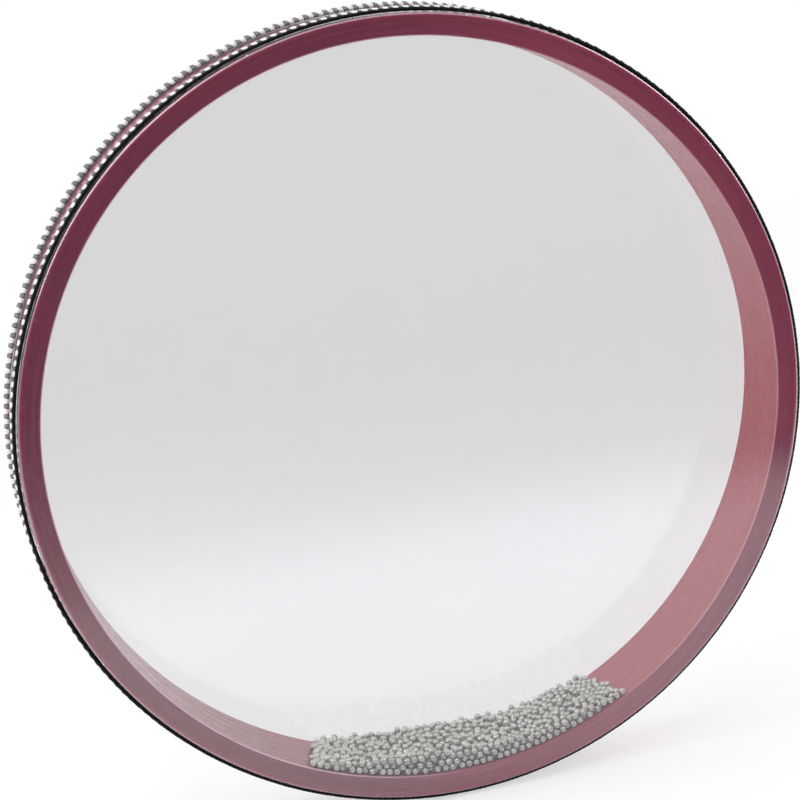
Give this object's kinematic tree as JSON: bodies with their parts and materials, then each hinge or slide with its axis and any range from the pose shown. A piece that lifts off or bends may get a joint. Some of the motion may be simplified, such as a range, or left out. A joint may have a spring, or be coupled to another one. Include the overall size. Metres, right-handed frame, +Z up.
{
  "type": "ocean drum",
  "caption": "Round closed hand drum: a bent wooden hoop with clear film heads on both faces, woven braid round its rim and loose steel beads that run round inside.",
  "frame": {"origin": "the lowest point of the rim, under the middle of the drum, where it stands on a surface", "axes": "+Y along the drum's axis from the front head to the rear head, +Z up, +X to the right as seen from the front"},
  "size_m": [0.4063, 0.0508, 0.406],
  "materials": {
    "hoop_paint": "glossy burgundy lacquer on bent wood",
    "clear_film": "clear glossy polyester film",
    "braid": "woven black and white braid",
    "staple_steel": "bright galvanised wire",
    "bead_steel": "satin polished steel shot"
  },
  "bodies": {
    "drum": {"frame_hoop": "hoop_paint", "front_head": "clear_film", "rear_head": "clear_film", "front_braid": "braid", "rear_braid": "braid", "front_staples": "staple_steel", "rear_staples": "staple_steel"},
    "bead_heap": {"beads": "bead_steel"}
  },
  "joints": [
    {"name": "bead_roll", "type": "hinge", "parent": "drum", "child": "bead_heap", "pos_m": [0, 0, 0.20285], "axis": [0, 1, 0], "continuous": true}
  ]
}
